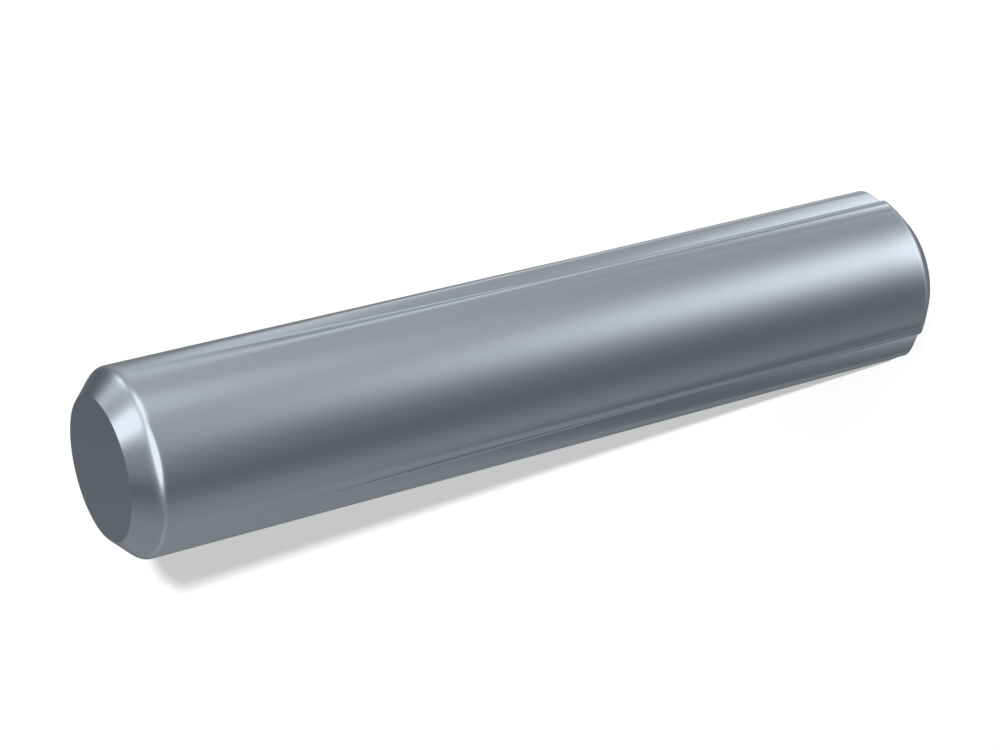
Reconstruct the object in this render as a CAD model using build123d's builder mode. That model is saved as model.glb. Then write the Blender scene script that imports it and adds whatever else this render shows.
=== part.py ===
from build123d import *
import os
from math import acos, atan2, degrees

# All lengths are in millimetres and all angles in degrees.
# The pin stands on its big end: the origin is the middle of that face, and +Z runs to the small end.

# The drawn bar that the pin is cut from, and its turned ends
bar_diameter = 10.0
pin_length = 50.0
chamfer_length = 1.2
small_rim_radius = 0.5

# The grooves: no depth where they start, just under the small end's rim, and this much at the big end.
# The section of the grooves and their lips goes with the bar's diameter.
groove_count = 3
first_groove_angle = 90.0
groove_depth = 0.076 * bar_diameter
groove_bottom_radius = 0.015 * bar_diameter
groove_wall_radius = 0.4 * bar_diameter

# The lips of metal pushed up beside each groove, which make the big end 10.45 across
lip_height = 0.0225 * bar_diameter
lip_angle = 11.6  # from the middle of the groove to the crest of the lip
lip_radius = 0.045 * bar_diameter
lip_foot_radius = 0.125 * bar_diameter

bar_radius = bar_diameter / 2
expanded_radius = bar_radius + lip_height
big_rim_radius = 3 * lip_height
tip_length = chamfer_length + small_rim_radius
groove_start_height = pin_length - tip_length


def polar(radius, angle):
    """A point of the cross section, at a distance and an angle from the axis."""
    return Vector(radius, 0).rotate(Axis.Z, angle)


def heading(vector):
    """The direction that a vector of the cross section points in."""
    return degrees(atan2(vector.Y, vector.X))


def corner_angle(side, other_side, opposite):
    """The angle between two sides of a triangle, from the lengths of all three."""
    return degrees(acos((side**2 + other_side**2 - opposite**2) / (2 * side * other_side)))


# Half of a groove at the big end, with the middle of the groove on +X, is four arcs that touch in turn:
# the rounded bottom, the slightly bulging wall, the crest of the lip and the lip's hollow foot.
bottom_centre = polar(bar_radius - groove_depth + groove_bottom_radius, 0)
lip_centre = polar(expanded_radius - lip_radius, lip_angle)
bottom_to_lip = lip_centre - bottom_centre
wall_to_bottom = groove_wall_radius + groove_bottom_radius
wall_to_lip = groove_wall_radius - lip_radius
wall_heading = heading(bottom_to_lip) + corner_angle(bottom_to_lip.length, wall_to_bottom, wall_to_lip)
wall_centre = bottom_centre + polar(wall_to_bottom, wall_heading)
lip_heading = heading(lip_centre - wall_centre)

# The foot touches the bar's own surface as well.
foot_distance = bar_radius + lip_foot_radius
foot_angle = lip_angle + corner_angle(lip_centre.length, foot_distance, lip_radius + lip_foot_radius)
foot_centre = polar(foot_distance, foot_angle)
foot_heading = heading(foot_centre - lip_centre)

with BuildLine() as half_groove:
    CenterArc(bottom_centre, groove_bottom_radius, 180, wall_heading - 180)
    CenterArc(wall_centre, groove_wall_radius, wall_heading - 180, lip_heading - wall_heading + 180)
    CenterArc(lip_centre, lip_radius, lip_heading, foot_heading - lip_heading)
    CenterArc(foot_centre, lip_foot_radius, foot_heading + 180, foot_angle - foot_heading)

# The section at the big end: the grooves with their lips, and between them the bar's own surface.
with BuildSketch() as big_end:
    with BuildLine():
        for groove in range(groove_count):
            turn = first_groove_angle + groove * 360 / groove_count
            add(half_groove.line.rotate(Axis.Z, turn))
            add(half_groove.line.mirror(Plane.XZ).rotate(Axis.Z, turn))
            CenterArc((0, 0), bar_radius, turn + foot_angle, 360 / groove_count - 2 * foot_angle)
    make_face()

# Where the grooves start, the section is the bar's own circle, divided at the angles of the big end's corners.
corner_angles = sorted(heading(corner.center()) for corner in big_end.vertices())
with BuildSketch(Plane.XY.offset(groove_start_height)) as groove_start:
    with BuildLine():
        for start, end in zip(corner_angles, corner_angles[1:] + [corner_angles[0] + 360]):
            CenterArc((0, 0), bar_radius, start, end - start)
    make_face()

# The big end is turned after grooving, so one cone cuts the lips, the bar's surface and the grooves alike.
with BuildPart() as turned_blank:
    Cylinder(expanded_radius, pin_length, align=(Align.CENTER, Align.CENTER, Align.MIN))
    chamfer(turned_blank.edges().sort_by(Axis.Z)[0], chamfer_length)

with BuildPart() as grooved_taper_pin:
    loft([big_end.sketch, groove_start.sketch], ruled=True)
    add(turned_blank.part, mode=Mode.INTERSECT)
    # The rounding runs on from the bar's rim over the lips, and fades out on the groove walls.
    fillet(grooved_taper_pin.edges().filter_by(GeomType.CIRCLE).group_by(Axis.Z)[1], big_rim_radius)
    with Locations((0, 0, groove_start_height)):
        Cylinder(bar_radius, tip_length, align=(Align.CENTER, Align.CENTER, Align.MIN))
    chamfer(grooved_taper_pin.edges().sort_by(Axis.Z)[-1], chamfer_length)
    fillet(grooved_taper_pin.edges().filter_by(GeomType.CIRCLE).group_by(Axis.Z)[-2], small_rim_radius)

grooved_taper_pin.part.label = "grooved_taper_pin"
os.makedirs("parts", exist_ok=True)
export_step(grooved_taper_pin.part, "parts/grooved_taper_pin.step")
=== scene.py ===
import math
import bmesh
import bpy
from mathutils import Matrix, Vector


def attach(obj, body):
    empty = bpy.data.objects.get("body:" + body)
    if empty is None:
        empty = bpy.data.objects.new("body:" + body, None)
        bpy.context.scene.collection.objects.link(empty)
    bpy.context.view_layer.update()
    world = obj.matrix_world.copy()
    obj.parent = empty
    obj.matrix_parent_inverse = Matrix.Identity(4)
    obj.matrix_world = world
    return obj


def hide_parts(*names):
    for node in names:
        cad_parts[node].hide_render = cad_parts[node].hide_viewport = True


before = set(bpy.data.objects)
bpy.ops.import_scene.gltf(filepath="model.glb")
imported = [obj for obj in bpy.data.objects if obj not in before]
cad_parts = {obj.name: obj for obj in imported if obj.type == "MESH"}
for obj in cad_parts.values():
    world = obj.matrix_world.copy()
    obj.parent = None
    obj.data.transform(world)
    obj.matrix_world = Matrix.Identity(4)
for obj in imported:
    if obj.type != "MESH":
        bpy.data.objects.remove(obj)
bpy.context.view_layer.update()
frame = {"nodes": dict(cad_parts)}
scene = bpy.context.scene
print("frame loaded:", ", ".join(frame["nodes"]))

millimetre = 0.001
white = (1, 1, 1, 1)


class Value:
    # a number or a node's output; the operators on it add Math nodes
    def __init__(self, tree, socket):
        self.tree = tree
        self.socket = socket

    def maths(self, operation, *others):
        return self.tree.add("ShaderNodeMath", {"operation": operation}, dict(enumerate((self, *others))))

    def between(self, lowest, highest):
        return self.maths("MAXIMUM", lowest).maths("MINIMUM", highest)

    def __add__(self, other):
        return self.maths("ADD", other)

    def __sub__(self, other):
        return self.maths("SUBTRACT", other)

    def __mul__(self, other):
        return self.maths("MULTIPLY", other)

    def __truediv__(self, other):
        return self.maths("DIVIDE", other)

    def __pow__(self, other):
        return self.maths("POWER", other)

    def __gt__(self, other):
        return self.maths("GREATER_THAN", other)

    def __lt__(self, other):
        return self.maths("LESS_THAN", other)

    def __rsub__(self, other):
        return Value(self.tree, other).maths("SUBTRACT", self)

    def __rtruediv__(self, other):
        return Value(self.tree, other).maths("DIVIDE", self)

    __radd__ = __add__
    __rmul__ = __mul__


class Tree:
    # the nodes of one material or of the world
    def __init__(self, owner):
        owner.use_nodes = True
        self.nodes = owner.node_tree.nodes
        self.links = owner.node_tree.links
        self.nodes.clear()

    def add(self, kind, settings=None, inputs=None, output=0):
        node = self.nodes.new(kind)
        for name, setting in (settings or {}).items():
            setattr(node, name, setting)
        for name, value in (inputs or {}).items():
            plain = value.socket if isinstance(value, Value) else value
            if isinstance(plain, bpy.types.NodeSocket):
                self.links.new(plain, node.inputs[name])
            else:
                node.inputs[name].default_value = plain
        return Value(self, node.outputs[output]) if node.outputs else None

    def mixColour(self, factor, first, second):
        return self.add("ShaderNodeMix", {"data_type": "RGBA"}, {0: factor, 6: first, 7: second}, 2)


# the camera, fitted to the photograph: its place in metres, what is right and up in the picture,
# the lens and the sensor's width in millimetres, and the nearest and farthest that it sees
photoCamera = {
    "place": (0.10895, 0.05734, 0.09280),
    "right": (0.51896, 0.0, -0.85480),
    "up": (-0.35241, 0.91109, -0.21396),
    "lens": 92.86,
    "sensor": 36,
    "sees": (0.01, 10),
}


def makeCamera(values):
    camera = bpy.data.objects.new("photoCamera", bpy.data.cameras.new("photoCamera"))
    right, up = Vector(values["right"]).normalized(), Vector(values["up"]).normalized()
    turned = Matrix((right, up, right.cross(up))).transposed().to_4x4()
    camera.matrix_world = Matrix.Translation(values["place"]) @ turned
    camera.data.lens = values["lens"]
    camera.data.sensor_width = values["sensor"]
    camera.data.clip_start, camera.data.clip_end = values["sees"]
    scene.collection.objects.link(camera)
    scene.camera = camera


makeCamera(photoCamera)
print("camera placed")

# the light that the steel mirrors. Each soft lamp has the azimuth and elevation of its middle, its half
# width and half height in degrees, and its strength, which is below zero for a black card that darkens
# a side. Dim light is tinted one way and bright light another, by the square root of its strength.
studio = {
    "plain": 0.4,
    "darkest": 0.19,
    "brightest": 1.72,
    "lamps": {
        "front": (27, 31, 15, 16, 8.20),
        "overhead": (107, 63, 9, 10, 2.10),
        "lowKey": (53, -49, 15, 15, 2.15),
        "side": (88, 11, 15, 22, 1.75),
        "back": (142, 25, 9, 8, 0.95),
        "backTop": (133, 37, 9, 18, 0.40),
        "lowBack": (137, -35, 16, 33, 0.40),
        "lowStrip": (150, -27, 11, 5, 0.30),
        "lowFill": (-75, -21, 21, 42, 0.05),
        "underneath": (-11, -89, 22, 23, 0.15),
        "cardAbove": (29, 62, 12, 6, -0.55),
        "cardSide": (69, -35, 21, 14, -0.60),
        "cardFront": (-17, -27, 15, 22, -0.15),
        "cardLow": (19, -57, 17, 54, -0.20),
        "cardTop": (-31, 101, 16, 24, -1.05),
        "cardBack": (185, 34, 13, 24, -0.35),
        "cardBackLow": (-150, -12, 15, 24, -0.20),
        "cardUnder": (-94, -53, 22, 15, -0.25),
        "cardDeep": (164, -78, 13, 18, -0.20),
        "rear": (-75, 3, 25, 7, 0.15),
        "zenith": (0, 90, 6, 6, 0.90),
    },
    "dimTint": (0.969, 1.002, 1.024, 1),
    "brightTint": (1.004, 1.001, 0.997, 1),
    "dimBelow": 0.47,
    "brightAbove": 0.72,
    "background": 1.0,
    "onFloor": 0.15,
}


def towards(azimuth, elevation):
    turn, rise = math.radians(azimuth), math.radians(elevation)
    return Vector((math.cos(turn) * math.cos(rise), math.sin(turn) * math.cos(rise), math.sin(rise)))


def softLamp(tree, direction, azimuth, elevation, halfWidth, halfHeight, strength):
    # how bright the lamp is, by how far the direction lies beside its middle and above it
    middle = towards(azimuth, elevation)
    sideways = towards(azimuth + 90, 0)
    upwards = middle.cross(sideways)

    def along(axis):
        dot = {"operation": "DOT_PRODUCT"}
        return tree.add("ShaderNodeVectorMath", dot, {0: direction, 1: axis}, "Value")

    across = along(sideways / math.sin(math.radians(halfWidth)))
    height = along(upwards / math.sin(math.radians(halfHeight)))
    spread = across * across + height * height
    ahead = along(middle) > 0  # the lamp has no twin on the opposite side
    return (spread * -0.5).maths("EXPONENT") * ahead * strength


def makeWorld(values):
    # white to the camera, the soft lamps to the steel, and a little even light to the floor
    world = bpy.data.worlds.new("studio")
    tree = Tree(world)
    direction = tree.add("ShaderNodeTexCoord", output="Generated")
    light = values["plain"]
    for lamp in values["lamps"].values():
        light = softLamp(tree, direction, *lamp) + light
    light = light.between(values["darkest"], values["brightest"])
    seen = tree.add("ShaderNodeLightPath", output="Is Camera Ray")
    metal = tree.add("ShaderNodeLightPath", output="Is Glossy Ray")
    strength = seen * values["background"] + metal * light + (1 - seen) * (1 - metal) * values["onFloor"]
    brightness = (light ** 0.5 - values["dimBelow"]) / (values["brightAbove"] - values["dimBelow"])
    mirrored = tree.mixColour(brightness, values["dimTint"], values["brightTint"])
    tint = tree.mixColour(metal, white, mirrored)
    shader = tree.add("ShaderNodeBackground", inputs={"Color": tint, "Strength": strength})
    tree.add("ShaderNodeOutputWorld", inputs={"Surface": shader})
    scene.world = world


makeWorld(studio)

# the distant lamps that throw the pin's shadow on the floor: azimuth, elevation and angle in degrees,
# and how much of the floor's brightness each gives
shadowLamps = {
    "low": {"azimuth": 31.8, "elevation": 20.8, "angle": 0.7, "share": 0.46},
    "high": {"azimuth": 42.0, "elevation": 74.0, "angle": 24.0, "share": 0.09},
}
lampDistance = 0.3  # metres from the pin to the lamp's mark; the lamp shines the same from anywhere

# the floor's size in metres, its colour and how much light of its own it shows the camera
floorValues = {"size": 6.0, "colour": 0.8, "lift": 0.36}


def makeShadowLamp(name, values, floorColour):
    lamp = bpy.data.objects.new(name, bpy.data.lights.new(name, "SUN"))
    direction = towards(values["azimuth"], values["elevation"])
    lamp.rotation_mode = "QUATERNION"
    lamp.rotation_quaternion = direction.to_track_quat("Z", "Y")
    lamp.location = direction * lampDistance
    lamp.data.angle = math.radians(values["angle"])
    lamp.data.energy = values["share"] * math.pi / floorColour / direction.z
    lamp.visible_glossy = False
    scene.collection.objects.link(lamp)


for name, values in shadowLamps.items():
    makeShadowLamp(name, values, floorValues["colour"])
print("studio lit")


def makeFloor(values):
    # a pale sheet, white to the camera except in the shadow
    mesh = bpy.data.meshes.new("floor")
    sheet = bmesh.new()
    bmesh.ops.create_grid(sheet, x_segments=1, y_segments=1, size=values["size"] / 2)
    sheet.to_mesh(mesh)
    sheet.free()
    floor = bpy.data.objects.new("floor", mesh)
    scene.collection.objects.link(floor)
    material = bpy.data.materials.new("paleFloor")
    tree = Tree(material)
    colour = (values["colour"],) * 3 + (1,)
    matt = tree.add("ShaderNodeBsdfDiffuse", inputs={"Color": colour})
    seen = tree.add("ShaderNodeLightPath", output="Is Camera Ray")
    lift = tree.add("ShaderNodeEmission", inputs={"Color": white, "Strength": seen * values["lift"]})
    both = tree.add("ShaderNodeAddShader", inputs={0: matt, 1: lift})
    tree.add("ShaderNodeOutputMaterial", inputs={"Surface": both})
    mesh.materials.append(material)
    floor.visible_glossy = False


makeFloor(floorValues)
print("floor laid")

# the pin's satin drawn steel: fine lines drawn along the shank, faint rings turned on the ends,
# cloudy patches, and lips that the die has burnished; lengths in metres
steelValues = {
    "deepColour": (0.443, 0.480, 0.537, 1),
    "paleColour": (0.467, 0.506, 0.563, 1),
    "edgeColour": (0.925, 0.957, 1.0, 1),  # where it is seen at a grazing angle
    "drawnLine": (0.00009, 0.014),  # width and length
    "patch": (0.004, 0.008),
    "turnedRing": 0.00012,
    "lineDetail": 2.0,
    "patchDetail": 3.0,
    "fineness": 0.6,  # how strong the finest grain is
    "linesPale": 0.7,  # how far each turns the deep colour to the pale one
    "patchesPale": 0.3,
    "lipsPale": 0.15,
    "roughness": 0.12,
    "lineRoughness": 0.05,
    "lipBurnish": 0.03,  # how much smoother the lips are
    "lineHeight": 1.2e-7,
}


def makeSteel(values, form):
    # form holds the pin's own sizes, which give the place of its lips and its turned ends
    barRadius, lipHeight, bigEnd = [form[size] * millimetre for size in ("barRadius", "lipHeight", "chamfer")]
    smallEnd = (form["length"] - form["chamfer"]) * millimetre
    material = bpy.data.materials.new("satinSteel")
    tree = Tree(material)
    place = tree.add("ShaderNodeTexCoord", output="Object")
    x, y, z = [tree.add("ShaderNodeSeparateXYZ", inputs={0: place}, output=axis) for axis in "XYZ"]
    radius = (x * x + y * y) ** 0.5

    def grain(size, detail):
        # cloudy grain of one size across the pin and another along it, from 0 to 1
        across, along = size
        scale = (1 / across, 1 / across, 1 / along)
        mapped = tree.add("ShaderNodeMapping", inputs={"Vector": place, "Scale": scale})
        return tree.add("ShaderNodeTexNoise", inputs={
            "Vector": mapped, "Scale": 1.0, "Detail": detail, "Roughness": values["fineness"]})

    drawn = grain(values["drawnLine"], values["lineDetail"])
    rings = tree.add("ShaderNodeTexNoise", {"noise_dimensions": "1D"}, {
        "W": radius / values["turnedRing"], "Scale": 1.0, "Detail": values["lineDetail"]})
    turned = (z > smallEnd) + (z < bigEnd)
    lines = drawn + (rings - drawn) * turned
    patches = grain(values["patch"], values["patchDetail"])
    lips = ((radius - barRadius) / lipHeight).between(0, 1)
    pale = lines * values["linesPale"] + patches * values["patchesPale"] + lips * values["lipsPale"]
    colour = tree.mixColour(pale, values["deepColour"], values["paleColour"])
    smoothed = values["roughness"] - lips * values["lipBurnish"]
    roughness = (lines - 0.5) * values["lineRoughness"] + smoothed  # the lines are 0.5 on average
    relief = tree.add("ShaderNodeBump", inputs={
        "Height": lines, "Strength": 1.0, "Distance": values["lineHeight"]})
    shader = tree.add("ShaderNodeBsdfPrincipled", inputs={
        "Base Color": colour, "Specular Tint": values["edgeColour"], "Metallic": 1.0,
        "Roughness": roughness, "Normal": relief})
    tree.add("ShaderNodeOutputMaterial", inputs={"Surface": shader})
    print("steel finished")
    return material


# the pin's form in millimetres and degrees, and how finely it is divided. It is that of its solid,
# but the small rim's rounding and those of the grooves and lips are as the light on them shows.
pinValues = {
    "barRadius": 5.0,
    "length": 50.0,
    "chamfer": 1.2,  # at both ends, at 45 degrees
    "smallRimReach": (0.37, 0.66),  # how far the small rim's rounding runs down the side and up the chamfer
    "aboveGrooves": 0.5,  # from the grooves' start to the small chamfer
    "bigRimRadius": 0.675,
    "sharpestRim": 0.04,  # the big rim's radius on the groove walls
    "wallTilt": 0.3,  # the big rim is sharpest up to this tilt of the outline, and round from the next one
    "openTilt": 0.9,
    "grooves": 3,
    "firstGroove": 90.0,
    "grooveDepth": 0.76,
    "bottomRadius": 0.136,
    "wallRadius": 3.95,
    "lipHeight": 0.225,
    "lipAngle": 11.6,
    "lipRadius": 0.377,
    "footRadius": 1.09,
    "mergeDistance": 0.0001,
    "steps": {
        "bottom": 6, "wall": 10, "lip": 30, "foot": 16, "bar": 20,  # round half a groove
        "rim": 8, "shank": 24, "smallRim": 14,  # up the side
    },
}


def polar(radius, angle):
    return Vector((radius * math.cos(math.radians(angle)), radius * math.sin(math.radians(angle)), 0))


def heading(vector):
    return math.degrees(math.atan2(vector.y, vector.x))


def cornerAngle(side, otherSide, opposite):
    # between two sides of a triangle, from the lengths of all three
    return math.degrees(math.acos((side ** 2 + otherSide ** 2 - opposite ** 2) / (2 * side * otherSide)))


def grooveArcs(values):
    # half a groove at the big end, from its middle on +X round to halfway to the next one:
    # each arc's centre, how far it turns and its steps
    bar, bottom, wall = values["barRadius"], values["bottomRadius"], values["wallRadius"]
    lip, foot, steps = values["lipRadius"], values["footRadius"], values["steps"]
    bottomCentre = polar(bar - values["grooveDepth"] + bottom, 0)
    lipCentre = polar(bar + values["lipHeight"] - lip, values["lipAngle"])
    across = lipCentre - bottomCentre
    wallHeading = heading(across) + cornerAngle(across.length, wall + bottom, wall - lip)
    wallCentre = bottomCentre + polar(wall + bottom, wallHeading)
    lipHeading = heading(lipCentre - wallCentre)
    footAngle = values["lipAngle"] + cornerAngle(lipCentre.length, bar + foot, lip + foot)
    footCentre = polar(bar + foot, footAngle)
    footHeading = heading(footCentre - lipCentre)
    return [
        (bottomCentre, wallHeading - 180, steps["bottom"]),
        (wallCentre, lipHeading - wallHeading + 180, steps["wall"]),
        (lipCentre, footHeading - lipHeading, steps["lip"]),
        (footCentre, footAngle - footHeading, steps["foot"]),
        (Vector(), 180 / values["grooves"] - footAngle, steps["bar"]),
    ]


def onlyPoints(made):
    return [item for item in made if isinstance(item, bmesh.types.BMVert)]


def spinArc(pin, point, centre, turn, steps):
    # draws an arc that starts at the point, and returns the arc's end
    angle = math.radians(turn)
    made = bmesh.ops.spin(pin, geom=[point], cent=centre, axis=(0, 0, 1), angle=angle, steps=steps)
    return onlyPoints(made["geom_last"])[0]


def bigEndSection(pin, values):
    # the closed outline of the big end: one half groove, mirrored, and that copied round
    point = pin.verts.new(polar(values["barRadius"] - values["grooveDepth"], 0))
    for centre, turn, steps in grooveArcs(values):
        point = spinArc(pin, point, centre, turn, steps)
    merge, copies = values["mergeDistance"], values["grooves"] - 1
    bmesh.ops.mirror(pin, geom=pin.verts[:] + pin.edges[:], axis="Y", merge_dist=merge)
    bmesh.ops.spin(pin, geom=pin.verts[:] + pin.edges[:], axis=(0, 0, 1), steps=copies,
                   angle=math.radians(360 / values["grooves"]) * copies, use_duplicate=True)
    bmesh.ops.remove_doubles(pin, verts=pin.verts[:], dist=merge)
    turned = Matrix.Rotation(math.radians(values["firstGroove"]), 3, "Z")
    bmesh.ops.rotate(pin, verts=pin.verts[:], matrix=turned)


def radialTilt(point):
    # how squarely the outline faces away from the axis: 1 on the bar, and little on a groove's wall
    before, after = [edge.other_vert(point).co for edge in point.link_edges]
    return abs((after - before).normalized().cross(point.co.normalized()).z)


def outwards(slope):
    # the way a line of the pin's side faces, as radius and height
    return Vector((math.cos(slope), -math.sin(slope)))


def roundedCorner(corner, firstSlope, lastSlope, radius, steps):
    # the points of a rounding between two lines that meet at the corner, going up
    turn = firstSlope - lastSlope
    start = corner - Vector((math.sin(firstSlope), math.cos(firstSlope))) * radius * math.tan(turn / 2)
    centre = start - outwards(firstSlope) * radius
    return [centre + outwards(firstSlope - turn * step / steps) * radius for step in range(steps + 1)]


def easedCorner(corner, before, after, steps):
    # as roundedCorner, but turning most in the middle, as a rim does that is polished after turning
    points = []
    for step in range(steps + 1):
        along = step / steps
        points.append(corner + (before - corner) * (1 - along) ** 3 + (after - corner) * along ** 3)
    return points


def sidePoints(values, bigRadius, rimRadius):
    # radius and height up the pin's side, from the big face to the small one, for one point of the
    # outline, which has its own radius at the big end and its own rounding there
    steps, bar, chamfer = values["steps"], values["barRadius"], values["chamfer"]
    smallHeight = values["length"] - chamfer  # of the corner under the small chamfer
    grooveHeight = smallHeight - values["aboveGrooves"]
    bigFace = bar + values["lipHeight"] - chamfer
    taper = (bar - bigRadius) / grooveHeight
    bigHeight = (bigRadius - bigFace) / (1 - taper)  # of the corner above the big chamfer
    bigCorner, smallCorner = Vector((bigFace + bigHeight, bigHeight)), Vector((bar, smallHeight))
    points = [Vector((bigFace, 0))]
    points += roundedCorner(bigCorner, math.radians(45), math.atan(taper), rimRadius, steps["rim"])
    shankStart, shankEnd = points[-1], Vector((bar, grooveHeight))
    points += [shankStart.lerp(shankEnd, step / steps["shank"]) for step in range(1, steps["shank"] + 1)]
    below, above = values["smallRimReach"]
    before = smallCorner - Vector((0, below))
    after = smallCorner + Vector((-above, above)) * math.sqrt(0.5)
    points += easedCorner(smallCorner, before, after, steps["smallRim"])
    points.append(Vector((bar - chamfer, values["length"])))
    return points


def markOutline(pin, values):
    # notes on each point of the big end's outline its radius and its rim's rounding, which is full on
    # the bar and the lips and fades out on the groove walls
    bigRadius = pin.verts.layers.float.new("bigRadius")
    rimRadius = pin.verts.layers.float.new("rimRadius")
    fade = values["openTilt"] - values["wallTilt"]
    for point in pin.verts:
        rounded = min(max((radialTilt(point) - values["wallTilt"]) / fade, 0), 1)
        point[bigRadius] = point.co.length
        point[rimRadius] = max(values["bigRimRadius"] * rounded, values["sharpestRim"])
    return bigRadius, rimRadius


def extrudeRing(pin, ring):
    # copies a ring of edges, with faces in between, and returns the new ring and its points
    made = bmesh.ops.extrude_edge_only(pin, edges=ring)["geom"]
    points = onlyPoints(made)
    inRing = set(points)
    edges = [item for item in made if isinstance(item, bmesh.types.BMEdge)]
    return [edge for edge in edges if all(end in inRing for end in edge.verts)], points


def raiseSide(pin, values):
    # draws the outline up the pin's side row by row, and returns the rims of the big and the small face
    bigRadius, rimRadius = markOutline(pin, values)
    sides = {}

    def level(points, row):
        # moves a row of points to its place up the pin's side
        for point in points:
            sizes = (point[bigRadius], point[rimRadius])
            if sizes not in sides:
                sides[sizes] = sidePoints(values, *sizes)
            radius, height = sides[sizes][row]
            across = Vector((point.co.x, point.co.y, 0)).normalized() * radius
            point.co = (across.x, across.y, height)

    rows = len(sidePoints(values, values["barRadius"], values["bigRimRadius"]))
    bigRim = pin.edges[:]
    level(pin.verts, 0)
    ring = bigRim
    for row in range(1, rows):
        ring, points = extrudeRing(pin, ring)
        level(points, row)
    return bigRim, ring


def makePin(values, steel):
    pin = bmesh.new()
    bigEndSection(pin, values)
    bigRim, smallRim = raiseSide(pin, values)
    for rim, height in ((bigRim, 0), (smallRim, values["length"])):
        points = extrudeRing(pin, rim)[1]
        bmesh.ops.pointmerge(pin, verts=points, merge_co=(0, 0, height))
    bmesh.ops.recalc_face_normals(pin, faces=pin.faces[:])
    for face in pin.faces:
        face.smooth = True
    for edge in bigRim + smallRim:
        edge.smooth = False
    bmesh.ops.scale(pin, verts=pin.verts[:], vec=(millimetre,) * 3)
    mesh = bpy.data.meshes.new("steelPin")
    pin.to_mesh(mesh)
    pin.free()
    piece = bpy.data.objects.new("steelPin", mesh)
    scene.collection.objects.link(piece)
    mesh.materials.append(steel)
    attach(piece, "root")
    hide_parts("grooved_taper_pin")
    print("pin modelled:", len(mesh.vertices), "points,", len(mesh.polygons), "faces")


makePin(pinValues, makeSteel(steelValues, pinValues))
scene.view_settings.view_transform = "Standard"
